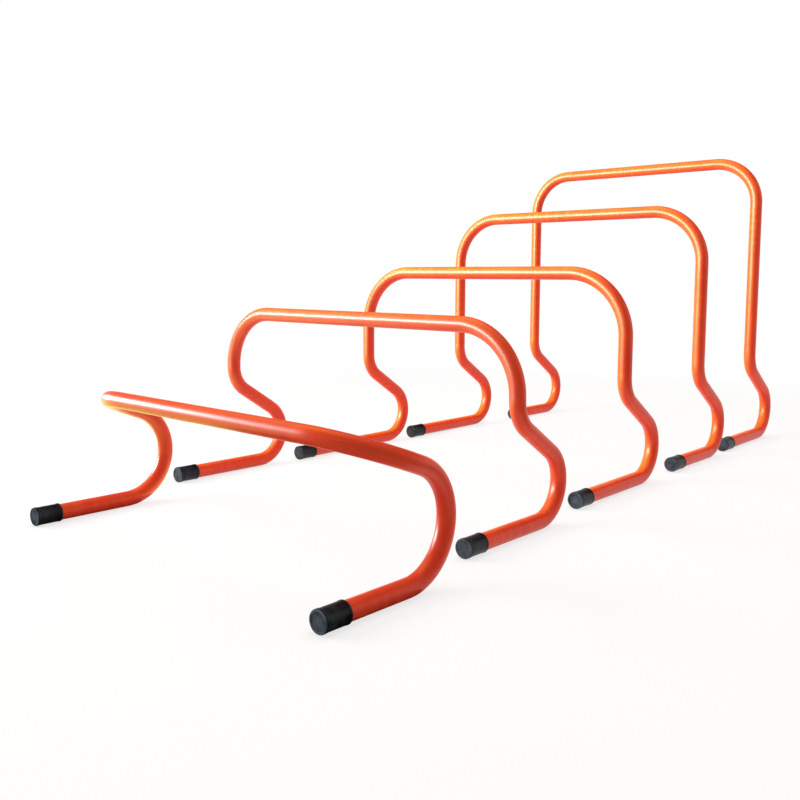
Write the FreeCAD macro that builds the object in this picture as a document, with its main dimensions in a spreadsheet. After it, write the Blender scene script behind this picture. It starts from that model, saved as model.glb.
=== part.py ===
# A graduated set of five speed hurdles standing in a row, each bent from one length of plastic tube.
# Frame: +X runs along the bars from left to right, +Y up the row from the lowest hurdle to the highest,
# against the feet, and +Z up. The origin lies on the floor, in the middle of the set.
import FreeCAD, Part
import math
import os
import Sketcher

doc = FreeCAD.newDocument("speed_hurdles")
sheet = doc.addObject("Spreadsheet::Sheet", "sizes")

# Driving dimensions in millimetres and degrees.
# A tube's run is a straight stretch, and a bend is given by the radius of its centre line.
DIMENSIONS = {
    # Tube
    "tube_od": 20,
    "tube_wall": 2,
    # Bends and runs that hurdles 2 to 5 share: each leg steps back at the shoulder and returns at the heel
    "shoulder_bend": 44,
    "lean_angle": 57.5,
    "lean_run": 65,
    "heel_bend": 45,
    # The lowest hurdle has no shoulder: its bar and top bends lie in one leaning plane
    "low_lean_angle": 68.5,
    "low_run": 5,
    "low_heel_bend": 60,
    # Free width between the legs
    "clear_width_1": 470,
    "clear_width_2": 502,
    "clear_width_3": 474,
    "clear_width_4": 464,
    "clear_width_5": 438,
    # Bends between bar and legs
    "top_bend_1": 82,
    "top_bend_2": 82,
    "top_bend_3": 91,
    "top_bend_4": 85,
    "top_bend_5": 75,
    # Upright run between top bend and shoulder, which sets the height of the bar
    "upper_leg_2": 3,
    "upper_leg_3": 56,
    "upper_leg_4": 164,
    "upper_leg_5": 273,
    # Straight run of each foot, from the heel bend to the tube's end
    "foot_left_1": 126,
    "foot_right_1": 114,
    "foot_left_2": 155,
    "foot_right_2": 148,
    "foot_left_3": 219,
    "foot_right_3": 178,
    "foot_left_4": 198,
    "foot_right_4": 138,
    "foot_left_5": 129,
    "foot_right_5": 163,
    # The row: how far the lowest bar stands in front of the origin, and each next bar behind the last one
    "row_start": 557,
    "spacing_2": 289,
    "spacing_3": 295,
    "spacing_4": 258,
    "spacing_5": 239,
    # How far the middle of each bar stands to the right of the row's middle line
    "offset_1": 30,
    "offset_2": -14,
    "offset_3": -13,
    "offset_4": -7,
    "offset_5": 5,
    # End cap: a sleeve over the tube, closed by a disc with a rounded rim and a dished face
    "cap_clearance": 0.15,
    "cap_wall": 1.35,
    "cap_depth": 28,
    "cap_floor": 5,
    "cap_rim": 1.2,
    "cap_mouth_round_share": 0.6,
    "cap_dish": 0.6,
    "cap_dish_margin": 2.2,
    "cap_groove_width": 1,
    "cap_groove_depth": 0.6,
    "cap_disc": 4.2,
    "cap_relief": 0.35,
    "cap_lip": 2.5,
}
HURDLES = ("1", "2", "3", "4", "5")
LOWEST = HURDLES[0]
SIDES = {"left": -1, "right": 1}

for row, (alias, number) in enumerate(DIMENSIONS.items(), start=1):
    sheet.set(f"A{row}", alias)
    sheet.set(f"B{row}", str(number))
    sheet.setAlias(f"B{row}", alias)
doc.recompute()


class Size:
    """A size from the sheet: its number draws the first outline, its text binds that outline to the sheet."""

    def __init__(self, number, text):
        self.number = number
        self.text = text

    def __add__(self, other):
        return Size(self.number + other.number, f"({self.text} + {other.text})")

    def __sub__(self, other):
        return Size(self.number - other.number, f"({self.text} - {other.text})")

    def __mul__(self, factor):
        return Size(self.number * factor, f"({self.text} * {factor})")

    def __truediv__(self, factor):
        return Size(self.number / factor, f"({self.text} / {factor})")

    def along(self, angle):
        return Size(self.number * math.cos(math.radians(angle.number)), f"({self.text} * cos({angle.text}))")

    def across(self, angle):
        return Size(self.number * math.sin(math.radians(angle.number)), f"({self.text} * sin({angle.text}))")


def size(alias):
    return Size(float(sheet.get(alias)), f"sizes.{alias}")


def angle(alias):
    return Size(float(sheet.get(alias)), f"sizes.{alias} * 1 deg")


NOTHING = Size(0, "0")
UPRIGHT = Size(0, "0 deg")
RIGHT_ANGLE = Size(90, "90 deg")
tube_radius = size("tube_od") / 2
bore_radius = tube_radius - size("tube_wall")
cap_bore = tube_radius + size("cap_clearance")
cap_radius = cap_bore + size("cap_wall")


def new_sketch(body, name, plane, offset=(NOTHING, NOTHING, NOTHING), tilt=None):
    """A sketch on one of the body's own planes, moved by offset and tilted about its own X axis."""
    sketch = body.newObject("Sketcher::SketchObject", name)
    support = [item for item in body.Origin.OriginFeatures if item.Role == plane][0]
    sketch.AttachmentSupport = (support, "")
    sketch.MapMode = "FlatFace"
    if tilt:
        turn = FreeCAD.Rotation(FreeCAD.Vector(1, 0, 0), tilt.number)
        sketch.AttachmentOffset = FreeCAD.Placement(FreeCAD.Vector(), turn)
        sketch.setExpression("AttachmentOffset.Rotation.Angle", tilt.text)
    for axis, amount in zip("xyz", offset):
        sketch.setExpression(f"AttachmentOffset.Base.{axis}", amount.text)
    return sketch


def bind(sketch, name, amount, kind, *place):
    """Add a named dimension to a sketch and tie it to the sheet."""
    number = math.radians(amount.number) if kind == "Angle" else amount.number
    index = sketch.addConstraint(Sketcher.Constraint(kind, *place, number))
    sketch.renameConstraint(index, name)
    sketch.setExpression(f"Constraints.{name}", amount.text)


def measure(sketch, name, kind, *place):
    """Add a named dimension that only reads the solved sketch."""
    index = sketch.addConstraint(Sketcher.Constraint(kind, *place, 0))
    sketch.setDriving(index, False)
    sketch.renameConstraint(index, name)


def draw_path(sketch, start, heading, steps):
    """Draw a tube's centre line, step by step, as it goes through the bender.

    A run is ("run", length) and a bend is ("bend", radius, angle, side), where side is 1 to the left and -1
    to the right. Returns the drawn items, each with its index and the numbers of its first and last point.
    """
    point = FreeCAD.Vector(start[0].number, start[1].number)
    course = math.radians(heading)
    drawn = []
    for count, step in enumerate(steps, start=1):
        if step[0] == "run":
            end = point + FreeCAD.Vector(math.cos(course), math.sin(course)) * step[1].number
            item = (sketch.addGeometry(Part.LineSegment(point, end)), 1, 2)
            bind(sketch, f"run_{count}", step[1], "Distance", item[0])
        else:
            radius, turn, side = step[1], step[2], step[3]
            outward = FreeCAD.Vector(math.sin(course), -math.cos(course)) * side
            centre = point - outward * radius.number
            first = math.atan2(outward.y, outward.x)
            last = first + side * math.radians(turn.number)
            circle = Part.Circle(centre, FreeCAD.Vector(0, 0, 1), radius.number)
            item = (sketch.addGeometry(Part.ArcOfCircle(circle, min(first, last), max(first, last))),)
            item += (1, 2) if side > 0 else (2, 1)
            bind(sketch, f"radius_{count}", radius, "Radius", item[0])
            bind(sketch, f"turn_{count}", turn, "Angle", item[0])
            end = centre + FreeCAD.Vector(math.cos(last), math.sin(last)) * radius.number
            course += side * math.radians(turn.number)
        if drawn:
            before = drawn[-1]
            sketch.addConstraint(Sketcher.Constraint("Tangent", before[0], before[2], item[0], item[1]))
        drawn.append(item)
        point = end
    bind(sketch, "start_x", start[0], "DistanceX", -1, 1, drawn[0][0], drawn[0][1])
    bind(sketch, "start_y", start[1], "DistanceY", -1, 1, drawn[0][0], drawn[0][1])
    return drawn


def pipe(body, name, profile, path):
    """Sweep the tube's ring along one planar stretch of its centre line."""
    sweep = body.newObject("PartDesign::AdditivePipe", name)
    sweep.Profile = profile
    sweep.Spine = path
    return sweep


def draw_ring(body, name, centre_x, offset, tilt):
    """The tube's cross-section where a leg leaves its top bend."""
    ring = new_sketch(body, name, "XY_Plane", offset, tilt)
    middle = FreeCAD.Vector(centre_x.number, 0)
    for label, radius in (("outside", tube_radius), ("bore", bore_radius)):
        circle = ring.addGeometry(Part.Circle(middle, FreeCAD.Vector(0, 0, 1), radius.number))
        bind(ring, label, radius, "Radius", circle)
        bind(ring, f"{label}_x", centre_x, "DistanceX", -1, 1, circle, 3)
        ring.addConstraint(Sketcher.Constraint("PointOnObject", circle, 3, -1))
    return ring


def foot_slope(foot):
    """A foot rises a little towards its end, so that its heel and its thicker cap both rest on the floor."""
    rise = cap_radius - tube_radius
    bare = foot - size("cap_depth")
    slope = math.degrees(math.asin(rise.number / bare.number))
    return Size(slope, f"asin({rise.text} / {bare.text})")


def bar_place(number):
    """Where the middle of a hurdle's bar stands on the floor plan."""
    along = size("row_start") * -1
    for behind in HURDLES[1:HURDLES.index(number) + 1]:
        along = along + size(f"spacing_{behind}")
    return size(f"offset_{number}"), along


def place(body, x_text, y_text, z_text):
    for axis, text in zip("xyz", (x_text, y_text, z_text)):
        body.setExpression(f"Placement.Base.{axis}", text)


def build_tube(number):
    """One hurdle's tube: bar and top bends in one plane, then a leg in a plane of its own on each side."""
    lowest = number == LOWEST
    body = doc.addObject("PartDesign::Body", f"hurdle_{number}_tube")
    half_width = (size(f"clear_width_{number}") + size("tube_od")) / 2
    top_bend = size(f"top_bend_{number}")
    tilt = angle("low_lean_angle") if lowest else UPRIGHT
    lean = angle("low_lean_angle") if lowest else angle("lean_angle")
    heel_bend = size("low_heel_bend") if lowest else size("heel_bend")
    corner = ("bend", top_bend, RIGHT_ANGLE, -1)
    top_path = new_sketch(body, f"top_path_{number}", "XZ_Plane", tilt=tilt)
    bar_run = (half_width - top_bend) * 2
    bar = draw_path(top_path, (half_width * -1, top_bend * -1), 90, (corner, ("run", bar_run), corner))[1]
    top_path.addConstraint(Sketcher.Constraint("Horizontal", bar[0]))
    leg_start = (top_bend.across(tilt), top_bend.along(tilt) * -1)
    rings = {}
    legs = {}
    for side, sign in SIDES.items():
        plane_x = half_width * sign
        rings[side] = draw_ring(body, f"{side}_ring_{number}", plane_x, (NOTHING, *leg_start), tilt)
        foot = size(f"foot_{side}_{number}")
        heel = ("bend", heel_bend, RIGHT_ANGLE + lean + foot_slope(foot), -1)
        if lowest:
            steps = (("run", size("low_run")), heel, ("run", foot))
        else:
            shoulder = ("bend", size("shoulder_bend"), lean, 1)
            upper_leg = ("run", size(f"upper_leg_{number}"))
            steps = (upper_leg, shoulder, ("run", size("lean_run")), heel, ("run", foot))
        leg = new_sketch(body, f"{side}_path_{number}", "YZ_Plane", (NOTHING, NOTHING, plane_x))
        drawn = draw_path(leg, leg_start, tilt.number - 90, steps)
        bind(leg, "first_course", tilt - RIGHT_ANGLE, "Angle", drawn[0][0])
        measure(leg, "heel_drop", "DistanceY", drawn[-2][0], 3, -1, 1)
        measure(leg, "toe_drop", "DistanceY", drawn[-1][0], 2, -1, 1)
        measure(leg, "toe_reach", "DistanceX", drawn[-1][0], 2, -1, 1)
        legs[side] = leg
    doc.recompute()
    pipe(body, f"bar_{number}", rings["left"], top_path)
    for side in SIDES:
        pipe(body, f"{side}_leg_{number}", rings[side], legs[side])
    bar_height = f"left_path_{number}.Constraints.heel_drop + ({heel_bend.text} + {tube_radius.text}) * 1 mm"
    offset, along = bar_place(number)
    place(body, f"{offset.text} * 1 mm", f"{along.text} * 1 mm", bar_height)
    return body


def circle_edges(shape, reach, radius):
    """Names of a turned piece's round edges at one place along its Y axis."""
    found = []
    for count, edge in enumerate(shape.Edges, start=1):
        if not isinstance(edge.Curve, Part.Circle):
            continue
        if math.isclose(edge.Curve.Radius, radius.number) and math.isclose(edge.Curve.Center.y, reach.number):
            found.append(f"Edge{count}")
    return found


def round_edge(body, name, base, corner, radius_text):
    """Round off one turned corner of a piece."""
    fillet = body.newObject("PartDesign::Fillet", name)
    fillet.Base = (base, circle_edges(base.Shape, *corner))
    fillet.setExpression("Radius", radius_text)
    doc.recompute()
    return fillet


def draw_outline(sketch, corners):
    """Draw a closed outline of straight lines whose corners are bound to the sheet."""
    points = [FreeCAD.Vector(reach.number, radius.number) for reach, radius in corners]
    lines = []
    for point, following in zip(points, points[1:] + points[:1]):
        lines.append(sketch.addGeometry(Part.LineSegment(point, following)))
    for line, following in zip(lines, lines[1:] + lines[:1]):
        sketch.addConstraint(Sketcher.Constraint("Coincident", line, 2, following, 1))
    for count, (line, (reach, radius)) in enumerate(zip(lines, corners), start=1):
        bind(sketch, f"reach_{count}", reach, "DistanceX", -1, 1, line, 1)
        bind(sketch, f"radius_{count}", radius, "DistanceY", -1, 1, line, 1)


def build_cap(number, side):
    """One slip-on end cap, turned about the foot's axis; the tube's end seats at its origin."""
    name = f"hurdle_{number}_cap_{side}"
    body = doc.addObject("PartDesign::Body", name)
    sleeve = cap_radius - size("cap_relief")
    groove = cap_radius - size("cap_groove_depth")
    mouth = size("cap_depth")
    lip_end = mouth - size("cap_lip")
    face = size("cap_floor") * -1
    disc_back = face + size("cap_disc")
    groove_end = disc_back + size("cap_groove_width")
    dish_rim = cap_radius - size("cap_dish_margin")
    dish_floor = face + size("cap_dish")
    corners = (
        (NOTHING, NOTHING),
        (NOTHING, cap_bore),
        (mouth, cap_bore),
        (mouth, cap_radius),
        (lip_end, cap_radius),
        (lip_end - size("cap_relief"), sleeve),
        (groove_end, sleeve),
        (groove_end, groove),
        (disc_back, groove),
        (disc_back, cap_radius),
        (face, cap_radius),
        (face, dish_rim),
        (dish_floor, dish_rim - size("cap_dish")),
        (dish_floor, NOTHING),
    )
    profile = new_sketch(body, f"profile_{name}", "YZ_Plane")
    draw_outline(profile, corners)
    doc.recompute()
    turned = body.newObject("PartDesign::Revolution", f"turned_{name}")
    turned.Profile = profile
    turned.ReferenceAxis = (profile, ["H_Axis"])
    turned.Angle = 360
    doc.recompute()
    rim = round_edge(body, f"rim_{name}", turned, (face, cap_radius), "sizes.cap_rim")
    mouth_round = "sizes.cap_wall * sizes.cap_mouth_round_share"
    round_edge(body, f"mouth_{name}", rim, (mouth, cap_radius), mouth_round)
    slope = foot_slope(size(f"foot_{side}_{number}"))
    turn = FreeCAD.Rotation(FreeCAD.Vector(-1, 0, 0), slope.number)
    body.Placement = FreeCAD.Placement(FreeCAD.Vector(), turn)
    body.setExpression("Placement.Rotation.Angle", slope.text)
    half_width = (size(f"clear_width_{number}") + size("tube_od")) / 2
    leg = f"{side}_path_{number}.Constraints"
    offset, along = bar_place(number)
    foot_x = offset + half_width * SIDES[side]
    toe_y = f"{along.text} * 1 mm - {leg}.toe_reach"
    toe_z = f"hurdle_{number}_tube.Placement.Base.z - {leg}.toe_drop"
    place(body, f"{foot_x.text} * 1 mm", toe_y, toe_z)
    return body


pieces = []
for number in HURDLES:
    pieces.append(build_tube(number))
    for side in SIDES:
        pieces.append(build_cap(number, side))
doc.recompute()

# Every object has to be sound before anything is written.
for item in doc.Objects:
    if "Invalid" in item.State or "Error" in item.State:
        raise RuntimeError(f"{item.Label} failed: {item.State}")
for piece in pieces:
    if piece.Shape.isNull() or not piece.Shape.isValid() or len(piece.Shape.Solids) != 1:
        raise RuntimeError(f"{piece.Label} is not one sound solid")

os.makedirs("parts", exist_ok=True)
for piece in pieces:
    piece.Shape.exportStep(f"parts/{piece.Label}.step")
    print(piece.Label, round(piece.Shape.Volume), piece.Shape.BoundBox)
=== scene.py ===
import math

import bmesh
import bpy
from mathutils import Matrix, Vector


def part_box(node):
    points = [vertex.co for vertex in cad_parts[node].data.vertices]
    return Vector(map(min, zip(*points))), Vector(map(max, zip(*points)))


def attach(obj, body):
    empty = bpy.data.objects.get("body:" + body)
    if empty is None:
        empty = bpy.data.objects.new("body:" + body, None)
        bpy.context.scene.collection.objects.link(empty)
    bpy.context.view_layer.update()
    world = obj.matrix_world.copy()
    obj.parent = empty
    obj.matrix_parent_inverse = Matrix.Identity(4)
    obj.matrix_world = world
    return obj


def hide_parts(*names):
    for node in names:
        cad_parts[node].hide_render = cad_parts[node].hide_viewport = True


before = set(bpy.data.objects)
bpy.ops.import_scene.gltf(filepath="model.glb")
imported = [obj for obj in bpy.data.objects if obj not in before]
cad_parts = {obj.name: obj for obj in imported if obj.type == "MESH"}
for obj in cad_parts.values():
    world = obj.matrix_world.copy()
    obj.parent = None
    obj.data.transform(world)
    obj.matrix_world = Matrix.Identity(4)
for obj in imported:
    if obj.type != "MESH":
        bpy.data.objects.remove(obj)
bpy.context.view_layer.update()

# Tubes. Each hurdle is one length of orange PVC tube, extruded, warmed and bent over round formers.
# A leg steps back at the shoulder and returns at the heel into a foot. The lowest hurdle has no
# shoulder: its bar and top bends lie in one leaning plane. All lengths are in metres.
TOP_BENDS = {
    "hurdle_1": 0.082,
    "hurdle_2": 0.082,
    "hurdle_3": 0.091,
    "hurdle_4": 0.085,
    "hurdle_5": 0.075,
}
HURDLES = tuple(TOP_BENDS)
LOWEST = HURDLES[0]
SIDES = {"left": -1, "right": 1}
TUBE_RADIUS = 0.010
SHOULDER_BEND = 0.044
HEEL_BEND = 0.045
HEEL_BEND_OF_LOWEST = 0.060
LEAN = math.radians(57.5)
LEAN_OF_LOWEST = math.radians(68.5)
LEAN_RUN = 0.065
LEAN_RUN_OF_LOWEST = 0.005
CAP_RADIUS = 0.0115
CAP_DEPTH = 0.028
CAP_FLOOR = 0.005
TUBE_SIDES = 48
BEND_POINTS = 40
POINT_SPACING = 0.004
EXTRUSION_OFFSET = 3.7


def add_node(tree, kind, inputs=None, **options):
    """Add a node, choose its options, and give its inputs plain values or links from other nodes."""
    node = tree.nodes.new(kind)
    for option, choice in options.items():
        setattr(node, option, choice)
    for socket, given in (inputs or {}).items():
        if isinstance(given, bpy.types.NodeSocket):
            tree.links.new(given, node.inputs[socket])
        else:
            node.inputs[socket].default_value = given
    return node


def calculate(tree, operation, first, second):
    node = add_node(tree, "ShaderNodeMath", {0: first, 1: second}, operation=operation)
    return node.outputs["Value"]


def add_part(tree, total, value, share):
    """Add a share of a value to a total."""
    return calculate(tree, "ADD", total, calculate(tree, "MULTIPLY", value, share))


def spread(tree, value, low, high, start, end):
    """Take the part of a value between low and high and spread it smoothly from start to end."""
    inputs = {"Value": value, "From Min": low, "From Max": high, "To Min": start, "To Max": end}
    return add_node(tree, "ShaderNodeMapRange", inputs, interpolation_type="SMOOTHSTEP").outputs["Result"]


def blend(tree, share, first, second):
    """Blend from a first to a second colour."""
    node = add_node(tree, "ShaderNodeMix", {0: share, 6: first, 7: second}, data_type="RGBA")
    return node.outputs[2]


def noise(tree, vector, scale, detail):
    inputs = {"Vector": vector, "Scale": scale, "Detail": detail}
    return add_node(tree, "ShaderNodeTexNoise", inputs).outputs["Fac"]


def new_group(name, inputs, outputs):
    """A shader group with named number or vector inputs and number outputs."""
    group = bpy.data.node_groups.new(name, "ShaderNodeTree")
    for label, kind in inputs.items():
        group.interface.new_socket(label, in_out="INPUT", socket_type=kind)
    for label in outputs:
        group.interface.new_socket(label, in_out="OUTPUT", socket_type="NodeSocketFloat")
    entry = add_node(group, "NodeGroupInput")
    return group, entry.outputs


# Handling marks: short fine scratches gathered in patches, and softly rubbed places around them.
PATCH_DETAIL = 3
RUBBED_SHARES = (0.52, 0.72)
SCRATCH_STRETCH_SHARES = (1, 1, 0.16)
SCRATCH_WIDTH_SHARES = (0.012, 0.035)
marks, given = new_group(
    "handling_marks",
    {"Vector": "NodeSocketVector", "Patch Scale": "NodeSocketFloat", "Scratch Scale": "NodeSocketFloat"},
    ("Scratches", "Rubbing"),
)
patches = noise(marks, given["Vector"], given["Patch Scale"], PATCH_DETAIL)
rubbing = spread(marks, patches, *RUBBED_SHARES, 0, 1)
warped = add_node(
    marks,
    "ShaderNodeVectorMath",
    {0: given["Vector"], 1: SCRATCH_STRETCH_SHARES},
    operation="MULTIPLY",
)
cells = add_node(
    marks,
    "ShaderNodeTexVoronoi",
    {"Vector": warped.outputs["Vector"], "Scale": given["Scratch Scale"], "Randomness": 1},
    feature="DISTANCE_TO_EDGE",
)
scratches = spread(marks, cells.outputs["Distance"], *SCRATCH_WIDTH_SHARES, 1, 0)
scratches = calculate(marks, "MULTIPLY", scratches, rubbing)
add_node(marks, "NodeGroupOutput", {"Scratches": scratches, "Rubbing": rubbing})

# Floor dust: what settles on the lowest centimetres of a piece that stands on the ground.
SPECKS_PER_METRE = 160
SPECK_DETAIL = 5
SPECK_SHARES = (0.45, 0.75)
dust, given = new_group("floor_dust", {"Reach": "NodeSocketFloat"}, ("Dust",))
place = add_node(dust, "ShaderNodeTexCoord").outputs["Object"]
height = add_node(dust, "ShaderNodeSeparateXYZ", {0: place}).outputs["Z"]
nearness = add_node(
    dust,
    "ShaderNodeMapRange",
    {"Value": height, "From Max": given["Reach"], "To Min": 1, "To Max": 0},
).outputs["Result"]
specks = spread(dust, noise(dust, place, SPECKS_PER_METRE, SPECK_DETAIL), *SPECK_SHARES, 0, 1)
add_node(dust, "NodeGroupOutput", {"Dust": calculate(dust, "MULTIPLY", specks, nearness)})

# Orange PVC: smooth, with fine draw lines along the tube, paler where a bend has stretched it.
# Noise is given as its scale and detail, and a range of shares as where a blend starts and ends.
ORANGE = (0.820, 0.046, 0.005, 1)
ORANGE_DEEP = (0.770, 0.037, 0.004, 1)
ORANGE_STRETCHED = (0.870, 0.066, 0.009, 1)
ORANGE_SCUFFED = (0.800, 0.150, 0.070, 1)
DUST = (0.420, 0.370, 0.310, 1)
DRAW_LINE_NOISE = (9, 3)
WAVE_NOISE = (55, 2)
CLOUD_NOISE = (14, 3)
TUBE_PATCHES_PER_METRE = 22
TUBE_SCRATCHES_PER_METRE = 420
TUBE_DUST_REACH = 0.030
TUBE_CLOUD_SHARES = (0.35, 0.65)
TUBE_STRETCH_SHARE = 0.45
TUBE_SCRATCH_SHARE = 0.16
DUST_SHARE = 0.05
DRAW_LINE_SHARES = (0.3, 0.7)
TUBE_ROUGHNESS = (0.35, 0.39)
TUBE_RUBBED_ROUGHNESS = 0.03
TUBE_DUST_ROUGHNESS = 0.15
DRAW_LINE_RELIEF_SHARE = 0.02
WAVE_RELIEF_SHARE = 0.12
TUBE_SCRATCH_RELIEF_SHARE = 0.015
TUBE_RELIEF_SHARE = 0.35
TUBE_RELIEF = 0.0004
PVC_IOR = 1.54
PVC_GLOSS_SHARE = 0.36
orange_pvc = bpy.data.materials.new("orange_pvc")
orange_pvc.use_nodes = True
tree = orange_pvc.node_tree
shader = tree.nodes["Principled BSDF"]
section = add_node(tree, "ShaderNodeAttribute", attribute_name="section").outputs["Vector"]
along = add_node(tree, "ShaderNodeAttribute", attribute_name="along").outputs["Fac"]
stretch = add_node(tree, "ShaderNodeAttribute", attribute_name="stretch").outputs["Fac"]
drawn_way = add_node(tree, "ShaderNodeCombineXYZ", {"Z": along}).outputs["Vector"]
drawn = add_node(
    tree,
    "ShaderNodeVectorMath",
    {0: section, 1: drawn_way},
    operation="ADD",
).outputs["Vector"]
on_surface = add_node(
    tree,
    "ShaderNodeVectorMath",
    {0: section, 1: (TUBE_RADIUS, TUBE_RADIUS, 0), 2: drawn_way},
    operation="MULTIPLY_ADD",
).outputs["Vector"]
draw_lines = noise(tree, drawn, *DRAW_LINE_NOISE)
waves = noise(tree, on_surface, *WAVE_NOISE)
clouds = noise(tree, on_surface, *CLOUD_NOISE)
worn = add_node(
    tree,
    "ShaderNodeGroup",
    {
        "Vector": on_surface,
        "Patch Scale": TUBE_PATCHES_PER_METRE,
        "Scratch Scale": TUBE_SCRATCHES_PER_METRE,
    },
    node_tree=marks,
).outputs
scratches = worn["Scratches"]
rubbing = worn["Rubbing"]
dusting = add_node(tree, "ShaderNodeGroup", {"Reach": TUBE_DUST_REACH}, node_tree=dust).outputs["Dust"]
colour = blend(tree, spread(tree, clouds, *TUBE_CLOUD_SHARES, 0, 1), ORANGE_DEEP, ORANGE)
colour = blend(tree, spread(tree, stretch, 0, 1, 0, TUBE_STRETCH_SHARE), colour, ORANGE_STRETCHED)
colour = blend(tree, calculate(tree, "MULTIPLY", scratches, TUBE_SCRATCH_SHARE), colour, ORANGE_SCUFFED)
colour = blend(tree, calculate(tree, "MULTIPLY", dusting, DUST_SHARE), colour, DUST)
roughness = spread(tree, draw_lines, *DRAW_LINE_SHARES, *TUBE_ROUGHNESS)
roughness = add_part(tree, roughness, rubbing, TUBE_RUBBED_ROUGHNESS)
roughness = add_part(tree, roughness, dusting, TUBE_DUST_ROUGHNESS)
relief = calculate(tree, "MULTIPLY", draw_lines, DRAW_LINE_RELIEF_SHARE)
relief = add_part(tree, relief, waves, WAVE_RELIEF_SHARE)
dents = calculate(tree, "MULTIPLY", scratches, TUBE_SCRATCH_RELIEF_SHARE)
relief = calculate(tree, "SUBTRACT", relief, dents)
inputs = {"Height": relief, "Strength": TUBE_RELIEF_SHARE, "Distance": TUBE_RELIEF}
bump = add_node(tree, "ShaderNodeBump", inputs)
tree.links.new(colour, shader.inputs["Base Color"])
tree.links.new(roughness, shader.inputs["Roughness"])
tree.links.new(bump.outputs["Normal"], shader.inputs["Normal"])
shader.inputs["IOR"].default_value = PVC_IOR
shader.inputs["Specular IOR Level"].default_value = PVC_GLOSS_SHARE

# The bending rule: straight runs meet at corners, each corner is rounded over its former, and the tube's
# round section is drawn along the line. Attributes carry the draw direction and the outside of the bends.
bending = bpy.data.node_groups.new("bent_tube", "GeometryNodeTree")
BENDING_INPUTS = {
    "Corners": "NodeSocketGeometry",
    "Tube Radius": "NodeSocketFloat",
    "Tube Sides": "NodeSocketInt",
    "Bend Points": "NodeSocketInt",
    "Point Spacing": "NodeSocketFloat",
    "Cut From": "NodeSocketFloat",
    "Plastic": "NodeSocketMaterial",
}
bending_input = {}
for label, kind in BENDING_INPUTS.items():
    socket = bending.interface.new_socket(label, in_out="INPUT", socket_type=kind)
    bending_input[label] = socket.identifier
bending.interface.new_socket("Tube", in_out="OUTPUT", socket_type="NodeSocketGeometry")
given = add_node(bending, "NodeGroupInput").outputs


def keep(tree, geometry, name, value, kind):
    """Store a value under a name on every point."""
    inputs = {"Geometry": geometry, "Name": name, "Value": value}
    node = add_node(tree, "GeometryNodeStoreNamedAttribute", inputs, data_type=kind, domain="POINT")
    return node.outputs["Geometry"]


def recall(tree, name, kind):
    node = add_node(tree, "GeometryNodeInputNamedAttribute", {"Name": name}, data_type=kind)
    return node.outputs["Attribute"]


line = add_node(bending, "GeometryNodeMeshToCurve", {"Mesh": given["Corners"]}).outputs["Curve"]
rounded = add_node(
    bending,
    "GeometryNodeFilletCurve",
    {"Curve": line, "Count": given["Bend Points"], "Radius": recall(bending, "former", "FLOAT")},
    mode="POLY",
).outputs["Curve"]
evened = add_node(
    bending,
    "GeometryNodeResampleCurve",
    {"Curve": rounded, "Length": given["Point Spacing"]},
    mode="LENGTH",
).outputs["Curve"]
distance = add_node(bending, "GeometryNodeSplineParameter").outputs["Length"]
distance = calculate(bending, "ADD", distance, given["Cut From"])
path = keep(bending, evened, "along", distance, "FLOAT")
courses = []
for step in (-1, 1):
    offset = add_node(bending, "GeometryNodeOffsetPointInCurve", {"Offset": step})
    tangent = add_node(bending, "GeometryNodeInputTangent").outputs["Tangent"]
    course = add_node(
        bending,
        "GeometryNodeFieldAtIndex",
        {"Value": tangent, "Index": offset.outputs["Point Index"]},
        data_type="FLOAT_VECTOR",
        domain="POINT",
    )
    courses.append(course.outputs["Value"])
turning = add_node(bending, "ShaderNodeVectorMath", {0: courses[0], 1: courses[1]}, operation="SUBTRACT")
outside = add_node(bending, "ShaderNodeVectorMath", {0: turning.outputs["Vector"]}, operation="NORMALIZE")
path = keep(bending, path, "outside", outside.outputs["Vector"], "FLOAT_VECTOR")
ring = add_node(
    bending,
    "GeometryNodeCurvePrimitiveCircle",
    {"Resolution": given["Tube Sides"], "Radius": given["Tube Radius"]},
    mode="RADIUS",
).outputs["Curve"]
spot = add_node(bending, "GeometryNodeInputPosition").outputs["Position"]
around = add_node(bending, "ShaderNodeVectorMath", {0: spot}, operation="NORMALIZE").outputs["Vector"]
ring = keep(bending, ring, "section", around, "FLOAT_VECTOR")
tube = add_node(
    bending,
    "GeometryNodeCurveToMesh",
    {"Curve": path, "Profile Curve": ring, "Fill Caps": True},
).outputs["Mesh"]
facing = add_node(bending, "GeometryNodeInputNormal").outputs["Normal"]
outward = add_node(
    bending,
    "ShaderNodeVectorMath",
    {0: facing, 1: recall(bending, "outside", "FLOAT_VECTOR")},
    operation="DOT_PRODUCT",
).outputs["Value"]
tube = keep(bending, tube, "stretch", outward, "FLOAT")
tube = add_node(bending, "GeometryNodeSetShadeSmooth", {"Geometry": tube}).outputs["Geometry"]
tube = add_node(bending, "GeometryNodeRealizeInstances", {"Geometry": tube}).outputs["Geometry"]
tube = add_node(bending, "GeometryNodeSetMaterial", {"Geometry": tube, "Material": given["Plastic"]})
add_node(bending, "NodeGroupOutput", {"Tube": tube.outputs["Geometry"]})


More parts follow.
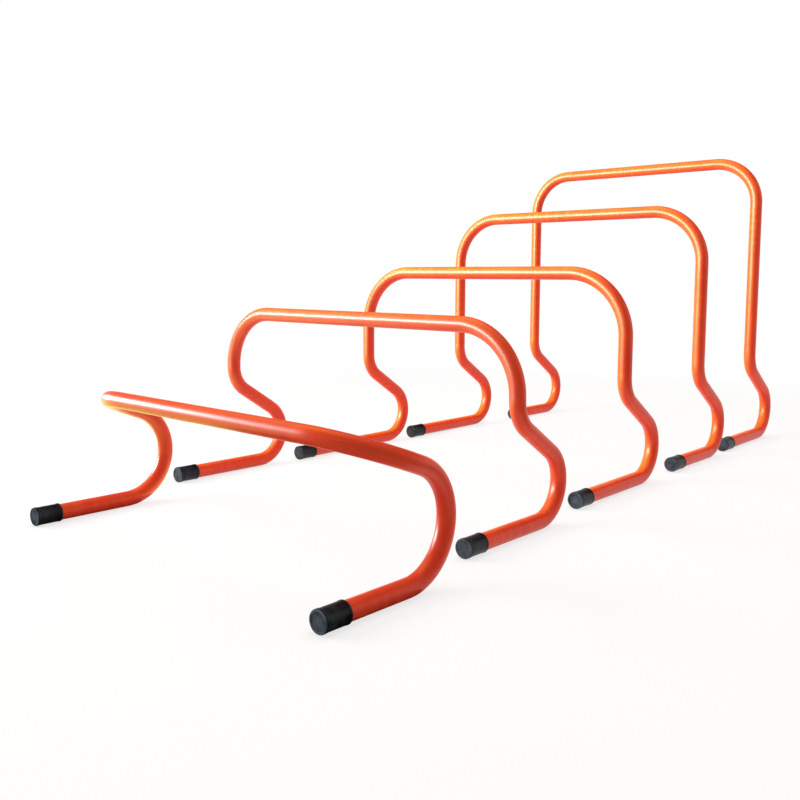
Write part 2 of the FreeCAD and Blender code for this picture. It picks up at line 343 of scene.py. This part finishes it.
def set_out_tube(hurdle):
    """Where the straight runs of a tube meet, from toe to toe, each corner with its former's radius.

    Widths, heights and places come from the solids. Also returns where each foot ends and its course.
    """
    low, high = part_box(f"{hurdle}_tube")
    lowest = hurdle == LOWEST
    lean = LEAN_OF_LOWEST if lowest else LEAN
    heel_bend = HEEL_BEND_OF_LOWEST if lowest else HEEL_BEND
    top_bend = TOP_BENDS[hurdle]
    heel_y = high.y - TUBE_RADIUS - heel_bend
    heel_z = TUBE_RADIUS + heel_bend
    bar_z = high.z - TUBE_RADIUS
    legs = {}
    feet = {}
    for side, sign in SIDES.items():
        leg_x = (low.x + high.x + sign * (high.x - low.x)) / 2 - sign * TUBE_RADIUS
        back = Vector((0, math.sin(lean), -math.cos(lean)))
        start_y = heel_y + heel_bend * math.cos(lean)
        start_z = heel_z + heel_bend * math.sin(lean)
        heel_start = Vector((leg_x, start_y, start_z))
        toe_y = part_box(f"{hurdle}_cap_{side}")[0].y + CAP_FLOOR
        slope = math.asin((CAP_RADIUS - TUBE_RADIUS) / (heel_y - toe_y - CAP_DEPTH))
        toe_y += CAP_RADIUS * math.sin(slope)
        forward = Vector((0, -math.cos(slope), math.sin(slope)))
        heel_reach = heel_bend * math.tan((math.radians(90) + lean + slope) / 2)
        heel_corner = heel_start + back * heel_reach
        heel_end = heel_corner + forward * heel_reach
        toe = heel_end + forward * ((heel_end.y - toe_y) / math.cos(slope))
        corners = [(toe, 0), (heel_corner, heel_bend)]
        if lowest:
            bar_corner = heel_start - back * (LEAN_RUN_OF_LOWEST + top_bend)
        else:
            shoulder = heel_start - back * (LEAN_RUN + SHOULDER_BEND * math.tan(lean / 2))
            corners.append((shoulder, SHOULDER_BEND))
            bar_corner = Vector((leg_x, shoulder.y, bar_z))
        corners.append((bar_corner, top_bend))
        legs[side] = corners
        feet[side] = (toe, forward)
    return legs["left"] + legs["right"][::-1], feet


def plain_mesh(piece, name):
    """Turn what the modifiers of a piece make into a plain mesh object, and drop the piece."""
    evaluated = piece.evaluated_get(bpy.context.evaluated_depsgraph_get())
    mesh = bpy.data.meshes.new_from_object(evaluated)
    bpy.data.objects.remove(piece)
    finished = bpy.data.objects.new(name, mesh)
    bpy.context.scene.collection.objects.link(finished)
    return finished


feet = {}
for count, hurdle in enumerate(HURDLES):
    corners, feet[hurdle] = set_out_tube(hurdle)
    mesh = bpy.data.meshes.new(f"{hurdle}_corners")
    runs = [(k, k + 1) for k in range(len(corners) - 1)]
    mesh.from_pydata([corner for corner, former in corners], runs, [])
    formers = mesh.attributes.new("former", "FLOAT", "POINT")
    formers.data.foreach_set("value", [former for corner, former in corners])
    blank = bpy.data.objects.new(f"{hurdle}_blank", mesh)
    bpy.context.scene.collection.objects.link(blank)
    bender = blank.modifiers.new("bending", "NODES")
    bender.node_group = bending
    bender[bending_input["Tube Radius"]] = TUBE_RADIUS
    bender[bending_input["Tube Sides"]] = TUBE_SIDES
    bender[bending_input["Bend Points"]] = BEND_POINTS
    bender[bending_input["Point Spacing"]] = POINT_SPACING
    bender[bending_input["Cut From"]] = count * EXTRUSION_OFFSET
    bender[bending_input["Plastic"]] = orange_pvc
    tube = plain_mesh(blank, f"{hurdle}_bent_tube")
    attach(tube, hurdle)
    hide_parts(f"{hurdle}_tube")

# End caps. Each foot ends in a slip-on cap moulded from soft black plastic and pushed over the tube: a
# thin sleeve with a lip round its mouth, a groove, and a thick end disc with a rounded rim, a dished
# face and the small stub that the mould's inlet leaves.
CAP_BORE = 0.01015
CAP_RELIEVED = 0.00035
CAP_GROOVE_DEPTH = 0.0006
CAP_SLEEVE = CAP_RADIUS - CAP_RELIEVED
CAP_GROOVE = CAP_RADIUS - CAP_GROOVE_DEPTH
CAP_LIP = 0.0025
CAP_DISC = 0.0042
CAP_GROOVE_WIDTH = 0.001
CAP_RIM = 0.0012
CAP_DISH_MARGIN = 0.0022
CAP_DISH_RADIUS = CAP_RADIUS - CAP_DISH_MARGIN
CAP_DISH = 0.0006
CAP_STUB_RADIUS = 0.0011
CAP_STUB_HEIGHT = 0.00035
CAP_STEPS = 96
RIM_STEPS = 6
EDGE_ROUND = 0.00018
EDGE_STEPS = 2
# Shares of the cap's edge mask. On the sleeve they are wear; on the rim and the dished end face they are
# painted reflection as much as wear.
MOUTH_WEAR_SHARE = 0.3
LIP_WEAR_SHARE = 0.1
GROOVE_WEAR_SHARE = 0.2
DISC_WEAR_SHARE = 0.4
DISH_RIM_WEAR_AND_SHEEN_SHARE = 0.9
DISH_CORNER_WEAR_AND_SHEEN_SHARE = 0.6
DISH_WEAR_AND_SHEEN_SHARE = 0.8
STUB_WEAR_AND_SHEEN_SHARE = 0.9

# Black soft plastic: finely grained, with a faint bloom in clouds, and rubbed bluish grey at its edges.
# The bluish grey is partly real wear and partly painted reflection, strongest over the rim and the dished
# end face.
BLACK = (0.005, 0.0055, 0.006, 1)
BLACK_BLOOM = (0.012, 0.0135, 0.016, 1)
BLACK_RUBBED_AND_SHEEN = (0.105, 0.135, 0.170, 1)
GRAIN_NOISE = (1400, 4)
BLOOM_NOISE = (120, 4)
CAP_PATCHES_PER_METRE = 70
CAP_SCRATCHES_PER_METRE = 600
CAP_DUST_REACH = 0.026
BLOOM_SHARES = (0.4, 0.7)
BLOOM_TOP_SHARE = 0.6
CAP_RUBBED_AND_SHEEN_SHARES = (0.35, 0.6)
CAP_RUBBED_AND_SHEEN_TOP_SHARES = (0.45, 0.95)
CAP_SCRATCH_SHARE = 0.4
CAP_CLOUD_SHARES = (0.3, 0.7)
CAP_ROUGHNESS = (0.30, 0.40)
CAP_RUBBED_ROUGHNESS = 0.08
CAP_SCRATCH_RELIEF_SHARE = 0.5
CAP_RELIEF_SHARE = 0.25
CAP_RELIEF = 0.00012
CAP_IOR = 1.52
CAP_GLOSS_SHARE = 0.16
black_plastic = bpy.data.materials.new("black_soft_plastic")
black_plastic.use_nodes = True
tree = black_plastic.node_tree
shader = tree.nodes["Principled BSDF"]
place = add_node(tree, "ShaderNodeTexCoord").outputs["Object"]
wear_and_sheen = add_node(tree, "ShaderNodeAttribute", attribute_name="wear_and_sheen").outputs["Fac"]
grain = noise(tree, place, *GRAIN_NOISE)
clouds = noise(tree, place, *BLOOM_NOISE)
worn = add_node(
    tree,
    "ShaderNodeGroup",
    {
        "Vector": place,
        "Patch Scale": CAP_PATCHES_PER_METRE,
        "Scratch Scale": CAP_SCRATCHES_PER_METRE,
    },
    node_tree=marks,
).outputs
scratches = worn["Scratches"]
rubbing = worn["Rubbing"]
dusting = add_node(tree, "ShaderNodeGroup", {"Reach": CAP_DUST_REACH}, node_tree=dust).outputs["Dust"]
bloom = spread(tree, clouds, *BLOOM_SHARES, 0, BLOOM_TOP_SHARE)
colour = blend(tree, bloom, BLACK, BLACK_BLOOM)
# The rubbed bluish grey is partly real wear and partly painted reflection that lights the rim and the end
# face.
uneven = spread(tree, clouds, *CAP_RUBBED_AND_SHEEN_SHARES, *CAP_RUBBED_AND_SHEEN_TOP_SHARES)
rubbed_and_sheen = calculate(tree, "MULTIPLY", wear_and_sheen, uneven)
rubbed_and_sheen = calculate(tree, "MAXIMUM", rubbed_and_sheen, calculate(tree, "MULTIPLY", scratches, CAP_SCRATCH_SHARE))
colour = blend(tree, rubbed_and_sheen, colour, BLACK_RUBBED_AND_SHEEN)
colour = blend(tree, calculate(tree, "MULTIPLY", dusting, DUST_SHARE), colour, DUST)
roughness = spread(tree, clouds, *CAP_CLOUD_SHARES, *CAP_ROUGHNESS)
roughness = add_part(tree, roughness, rubbing, CAP_RUBBED_ROUGHNESS)
dents = calculate(tree, "MULTIPLY", scratches, CAP_SCRATCH_RELIEF_SHARE)
relief = calculate(tree, "SUBTRACT", grain, dents)
inputs = {"Height": relief, "Strength": CAP_RELIEF_SHARE, "Distance": CAP_RELIEF}
bump = add_node(tree, "ShaderNodeBump", inputs)
tree.links.new(colour, shader.inputs["Base Color"])
tree.links.new(roughness, shader.inputs["Roughness"])
tree.links.new(bump.outputs["Normal"], shader.inputs["Normal"])
shader.inputs["IOR"].default_value = CAP_IOR
shader.inputs["Specular IOR Level"].default_value = CAP_GLOSS_SHARE


def cap_profile():
    """Half of the cap's cut face as (reach towards the heel, radius, edge wear and painted reflection),
    from bore to stub.
    """
    face = -CAP_FLOOR
    disc_back = face + CAP_DISC
    groove_end = disc_back + CAP_GROOVE_WIDTH
    lip_end = CAP_DEPTH - CAP_LIP
    mouth_round = (CAP_RADIUS - CAP_BORE) / 2
    profile = [
        (0, 0, 0),
        (0, CAP_BORE, 0),
        (CAP_DEPTH, CAP_BORE, 0),
        (CAP_DEPTH, CAP_RADIUS - mouth_round, MOUTH_WEAR_SHARE),
        (CAP_DEPTH - mouth_round, CAP_RADIUS, MOUTH_WEAR_SHARE),
        (lip_end, CAP_RADIUS, LIP_WEAR_SHARE),
        (lip_end - CAP_RELIEVED, CAP_SLEEVE, 0),
        (groove_end, CAP_SLEEVE, GROOVE_WEAR_SHARE),
        (groove_end, CAP_GROOVE, 0),
        (disc_back, CAP_GROOVE, 0),
        (disc_back, CAP_RADIUS, DISC_WEAR_SHARE),
    ]
    for step in range(RIM_STEPS + 1):
        turn = math.radians(90) * step / RIM_STEPS
        reach = face + CAP_RIM * (1 - math.sin(turn))
        radius = CAP_RADIUS - CAP_RIM * (1 - math.cos(turn))
        profile.append((reach, radius, math.sin(turn)))
    # The rim and the dished end face take high shares: there the mask is mostly painted reflection, with
    # some wear.
    profile += [
        (face, CAP_DISH_RADIUS, DISH_RIM_WEAR_AND_SHEEN_SHARE),
        (face + CAP_DISH, CAP_DISH_RADIUS - CAP_DISH, DISH_CORNER_WEAR_AND_SHEEN_SHARE),
        (face + CAP_DISH, CAP_STUB_RADIUS, DISH_WEAR_AND_SHEEN_SHARE),
        (face + CAP_DISH - CAP_STUB_HEIGHT, CAP_STUB_RADIUS, 1),
        (face + CAP_DISH - CAP_STUB_HEIGHT, 0, STUB_WEAR_AND_SHEEN_SHARE),
    ]
    return profile


def turned_mesh(name, profile, steps):
    """Turn a profile round the Y axis into a closed mesh with its edge wear and painted reflection as an
    attribute.
    """
    shape = bmesh.new()
    wear_and_sheen_layer = shape.verts.layers.float.new("wear_and_sheen")
    rings = []
    for reach, radius, wear_and_sheen in profile:
        count = steps if radius else 1
        ring = []
        for step in range(count):
            turn = math.radians(360) * step / steps
            point = shape.verts.new((radius * math.cos(turn), reach, radius * math.sin(turn)))
            point[wear_and_sheen_layer] = wear_and_sheen
            ring.append(point)
        rings.append(ring)
    for ring, following in zip(rings, rings[1:]):
        for step in range(steps):
            corners = []
            around = ((ring, step), (ring, step + 1), (following, step + 1), (following, step))
            for circle, place in around:
                point = circle[place % len(circle)]
                if point not in corners:
                    corners.append(point)
            shape.faces.new(corners)
    bmesh.ops.recalc_face_normals(shape, faces=shape.faces)
    mesh = bpy.data.meshes.new(name)
    shape.to_mesh(mesh)
    shape.free()
    return mesh


cap_shape = turned_mesh("cap_shape", cap_profile(), CAP_STEPS)
cap_shape.materials.append(black_plastic)
cap_shape.polygons.foreach_set("use_smooth", [True] * len(cap_shape.polygons))
for hurdle in HURDLES:
    for side in SIDES:
        toe, forward = feet[hurdle][side]
        blank = bpy.data.objects.new(f"{hurdle}_{side}_cap_blank", cap_shape.copy())
        bpy.context.scene.collection.objects.link(blank)
        rounding = blank.modifiers.new("rounding", "BEVEL")
        rounding.width = EDGE_ROUND
        rounding.segments = EDGE_STEPS
        rounding.limit_method = "ANGLE"
        rounding.harden_normals = True
        cap = plain_mesh(blank, f"{hurdle}_slip_cap_{side}")
        rise = Matrix.Rotation(-math.atan2(forward.z, -forward.y), 4, "X")
        cap.data.transform(Matrix.Translation(toe) @ rise)
        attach(cap, hurdle)
        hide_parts(f"{hurdle}_cap_{side}")

# Floor: a plain white studio floor that only shows the soft shadow of the set.
# It is white where nothing shades it, and runs out into the white surroundings.
FLOOR_SIZE = 30
FLOOR_WHITE = (0.93, 0.93, 0.93, 1)
PURE_WHITE = (1, 1, 1, 1)
SHADOW_SHARE = 0.26
SHADOW_REACH = 1.7
floor_mesh = bpy.data.meshes.new("floor")
floor_edge = FLOOR_SIZE / 2
floor_corners = [(x, y, 0) for x, y in ((-1, -1), (1, -1), (1, 1), (-1, 1))]
floor_mesh.from_pydata([Vector(corner) * floor_edge for corner in floor_corners], [], [(0, 1, 2, 3)])
floor = bpy.data.objects.new("floor", floor_mesh)
bpy.context.scene.collection.objects.link(floor)
studio_floor = bpy.data.materials.new("studio_floor")
studio_floor.use_nodes = True
tree = studio_floor.node_tree
tree.nodes.clear()
place = add_node(tree, "ShaderNodeTexCoord").outputs["Object"]
reach = add_node(tree, "ShaderNodeVectorMath", {0: place}, operation="LENGTH").outputs["Value"]
shade = spread(tree, reach, SHADOW_REACH / 2, SHADOW_REACH, SHADOW_SHARE, 0)
rays = add_node(tree, "ShaderNodeLightPath").outputs
seen = calculate(tree, "MAXIMUM", rays["Is Camera Ray"], rays["Is Glossy Ray"])
seen = calculate(tree, "MAXIMUM", seen, rays["Is Transmission Ray"])
white_share = calculate(tree, "MULTIPLY", seen, calculate(tree, "SUBTRACT", 1, shade))
matt = add_node(tree, "ShaderNodeBsdfDiffuse", {"Color": FLOOR_WHITE}).outputs["BSDF"]
white = add_node(tree, "ShaderNodeEmission", {"Color": PURE_WHITE, "Strength": 1}).outputs["Emission"]
shown = add_node(tree, "ShaderNodeMixShader", {0: white_share, 1: matt, 2: white}).outputs["Shader"]
add_node(tree, "ShaderNodeOutputMaterial", {"Surface": shown})
floor_mesh.materials.append(studio_floor)

# Surroundings: white where they are seen, and a dim even fill where they only light.
# They have no picture in them, so the gloss shows plain white wherever no card or cloth covers it.
FILL = 0.35
world = bpy.data.worlds.new("surroundings")
bpy.context.scene.world = world
world.use_nodes = True
tree = world.node_tree
tree.nodes.clear()
rays = add_node(tree, "ShaderNodeLightPath").outputs
seen = calculate(tree, "MAXIMUM", rays["Is Camera Ray"], rays["Is Glossy Ray"])
seen = calculate(tree, "MAXIMUM", seen, rays["Is Transmission Ray"])
strength = add_node(
    tree,
    "ShaderNodeMapRange",
    {"Value": seen, "To Min": FILL, "To Max": 1},
).outputs["Result"]
sky = add_node(tree, "ShaderNodeBackground", {"Color": PURE_WHITE, "Strength": strength})
add_node(tree, "ShaderNodeOutputWorld", {"Surface": sky.outputs["Background"]})

# Lamps: soft daylight from overhead and from the left, and two lamps for the tubes behind the lowest one.
# None of the four shows in the gloss. The cards are seen in the gloss alone, each by its own tubes: three
# windows on the left, a straw-coloured reflector low on the left, and one overhead.
DAYLIGHT = (1.0, 0.95, 0.88)
CREAM = (1.0, 0.93, 0.62)
# This gold is a green, because orange plastic looks golden in green light.
GOLD = (0.20, 1.0, 0.60)
STRAW = (0.62, 0.92, 0.22)
LAMPS = {
    "overhead": {
        "place": (0.10, 0.50, 2.20),
        "aim": (0, 0.2, 0.2),
        "size": (2.00, 2.00),
        "watts": 34,
        "colour": DAYLIGHT,
    },
    "front": {
        "place": (-1.60, -1.50, 1.20),
        "aim": (0, 0.2, 0.2),
        "size": (1.60, 1.00),
        "watts": 44,
        "colour": DAYLIGHT,
    },
}
GLOWS = {
    "middle_glow": {
        "place": (-1.50, -0.90, 1.10),
        "aim": (0, 0, 0.3),
        "size": (1.00, 1.00),
        "watts": 145,
        "colour": GOLD,
    },
    "far_glow": {
        "place": (-1.50, -0.70, 1.20),
        "aim": (0, 0.4, 0.3),
        "size": (1.00, 1.00),
        "watts": 335,
        "colour": GOLD,
    },
}
CARDS = {
    "near_window": {
        "place": (-1.77, -1.16, 0.46),
        "aim": (0, -0.6, 0.2),
        "size": (0.60, 0.50),
        "watts": 100,
        "colour": DAYLIGHT,
    },
    "near_reflector": {
        "place": (-0.60, -0.62, 0.012),
        "aim": (-0.60, -0.62, 1),
        "size": (1.00, 0.60),
        "watts": 5,
        "colour": STRAW,
    },
    "middle_window": {
        "place": (-1.12, -1.68, 0.62),
        "aim": (0, 0, 0.62),
        "size": (1.77, 0.45),
        "watts": 155,
        "colour": DAYLIGHT,
    },
    "far_window": {
        "place": (-1.00, -1.78, 0.75),
        "aim": (0.17, -0.12, 0.75),
        "size": (1.60, 0.90),
        "watts": 225,
        "colour": CREAM,
    },
    "high_reflector": {
        "place": (-1.30, -0.20, 2.30),
        "aim": (-0.3, -0.2, 0.2),
        "size": (1.80, 2.40),
        "watts": 26,
        "colour": STRAW,
    },
}
SHINES_ON = {
    "middle_glow": HURDLES[1:2],
    "far_glow": HURDLES[2:],
    "near_window": HURDLES[:1],
    "near_reflector": HURDLES[:2],
    "middle_window": HURDLES[1:2],
    "far_window": HURDLES[2:],
    "high_reflector": HURDLES,
}


def hang_lamp(name, place, aim, size, watts, colour):
    light = bpy.data.lights.new(name, "AREA")
    light.shape = "RECTANGLE"
    light.size, light.size_y = size
    light.energy = watts
    light.color = colour
    lamp = bpy.data.objects.new(name, light)
    lamp.location = place
    lamp.rotation_euler = (Vector(aim) - lamp.location).to_track_quat("-Z", "Y").to_euler()
    lamp.visible_camera = False
    bpy.context.scene.collection.objects.link(lamp)
    return lamp


def shine_on(lamp, pieces):
    """Let a lamp light only the pieces it is meant for."""
    lit = bpy.data.collections.new(f"lit_by_{lamp.name}")
    for piece in pieces:
        lit.objects.link(bpy.data.objects[piece])
    lamp.light_linking.receiver_collection = lit


for name, settings in LAMPS.items():
    lamp = hang_lamp(name, **settings)
    lamp.visible_glossy = False
for name, settings in GLOWS.items():
    lamp = hang_lamp(name, **settings)
    lamp.visible_glossy = False
    shine_on(lamp, [f"{hurdle}_bent_tube" for hurdle in SHINES_ON[name]])
for name, settings in CARDS.items():
    card = hang_lamp(name, **settings)
    card.visible_diffuse = False
    shine_on(card, [f"{hurdle}_bent_tube" for hurdle in SHINES_ON[name]])

# Black cloths: they keep the white surroundings out of the gloss. One hangs on the right and round to the
# front, one behind the windows, one is spread high over the set, and one lies on the near floor, where it
# dims the bounce too. They cast no shadow, are clear from behind, and the camera doesn't see them.
CLOTH_BLACK = (0.01, 0.01, 0.01, 1)
CLOTH_GREY = (0.65, 0.65, 0.65, 1)
CLOTH_HEIGHT = 1.10
TALL_CLOTH_HEIGHT = 2.20
FLOOR_CLOTH_RISE = 0.002
RIGHT_CLOTH = ((0.20, -2.20), (1.30, -2.20), (1.30, 0.20))
LEFT_CLOTH = ((-0.50, -3.10), (-3.10, -0.50))
FLOOR_CLOTH = (
    (-0.55, -1.60),
    (1.30, -1.60),
    (1.30, 0.20),
    (0.45, 0.20),
    (0.45, -0.48),
    (-0.55, -0.48),
)
ROOF_CLOTH = ((-9.00, -3.50), (-9.00, 9.00), (3.00, 9.00), (3.00, -3.50))
ROOF_HEIGHT = 3.20
black_cloth = bpy.data.materials.new("black_cloth")
black_cloth.use_nodes = True
tree = black_cloth.node_tree
tree.nodes.clear()
in_gloss = add_node(tree, "ShaderNodeLightPath").outputs["Is Glossy Ray"]
colour = blend(tree, in_gloss, CLOTH_GREY, CLOTH_BLACK)
matt = add_node(tree, "ShaderNodeBsdfDiffuse", {"Color": colour}).outputs["BSDF"]
clear = add_node(tree, "ShaderNodeBsdfTransparent").outputs["BSDF"]
behind = add_node(tree, "ShaderNodeNewGeometry").outputs["Backfacing"]
shown = add_node(tree, "ShaderNodeMixShader", {0: behind, 1: matt, 2: clear}).outputs["Shader"]
add_node(tree, "ShaderNodeOutputMaterial", {"Surface": shown})


def spread_cloth(name, corners, faces):
    mesh = bpy.data.meshes.new(name)
    mesh.from_pydata(corners, [], faces)
    mesh.materials.append(black_cloth)
    cloth = bpy.data.objects.new(name, mesh)
    bpy.context.scene.collection.objects.link(cloth)
    cloth.visible_camera = False
    return cloth


def hung_corners(line, height):
    """Corners and faces of a cloth that hangs along a line on the floor and faces the line's right."""
    corners = [(x, y, z) for x, y in line for z in (0, height)]
    faces = [(2 * k, 2 * k + 2, 2 * k + 3, 2 * k + 1) for k in range(len(line) - 1)]
    return corners, faces


right_cloth = spread_cloth("right_cloth", *hung_corners(RIGHT_CLOTH[::-1], CLOTH_HEIGHT))
left_cloth = spread_cloth("left_cloth", *hung_corners(LEFT_CLOTH, TALL_CLOTH_HEIGHT))
floor_cloth_corners = [(x, y, FLOOR_CLOTH_RISE) for x, y in FLOOR_CLOTH]
floor_cloth = spread_cloth("floor_cloth", floor_cloth_corners, [tuple(range(len(FLOOR_CLOTH)))])
roof_cloth = spread_cloth("roof_cloth", [(x, y, ROOF_HEIGHT) for x, y in ROOF_CLOTH], [(0, 1, 2, 3)])
for cloth in (left_cloth, right_cloth, roof_cloth):
    cloth.visible_diffuse = False
for cloth in (left_cloth, right_cloth, roof_cloth, floor_cloth):
    cloth.visible_shadow = False

# Camera: low in front of the right-hand feet, looking along the row.
CAMERA_PLACE = (0.79751, -1.12042, 0.31186)
CAMERA_TURN = math.radians(42.6537)
CAMERA_DIP = math.radians(5.5588)
CAMERA_ROLL = math.radians(0.0720)
SENSOR_WIDTH = 36
IMAGE_SIZE = 800
FOCAL_PIXELS = 869.32
IMAGE_MIDDLE = (368.97, 357.53)
camera = bpy.data.objects.new("camera", bpy.data.cameras.new("camera"))
bpy.context.scene.collection.objects.link(camera)
camera.data.sensor_width = SENSOR_WIDTH
camera.data.lens = camera.data.sensor_width * FOCAL_PIXELS / IMAGE_SIZE
camera.data.shift_x = 1 / 2 - IMAGE_MIDDLE[0] / IMAGE_SIZE
camera.data.shift_y = IMAGE_MIDDLE[1] / IMAGE_SIZE - 1 / 2
turn = Matrix.Rotation(CAMERA_TURN, 4, "Z")
dip = Matrix.Rotation(math.radians(90) - CAMERA_DIP, 4, "X")
roll = Matrix.Rotation(CAMERA_ROLL, 4, "Z")
camera.matrix_world = Matrix.Translation(CAMERA_PLACE) @ turn @ dip @ roll
bpy.context.scene.camera = camera
bpy.context.scene.view_settings.view_transform = "Standard"
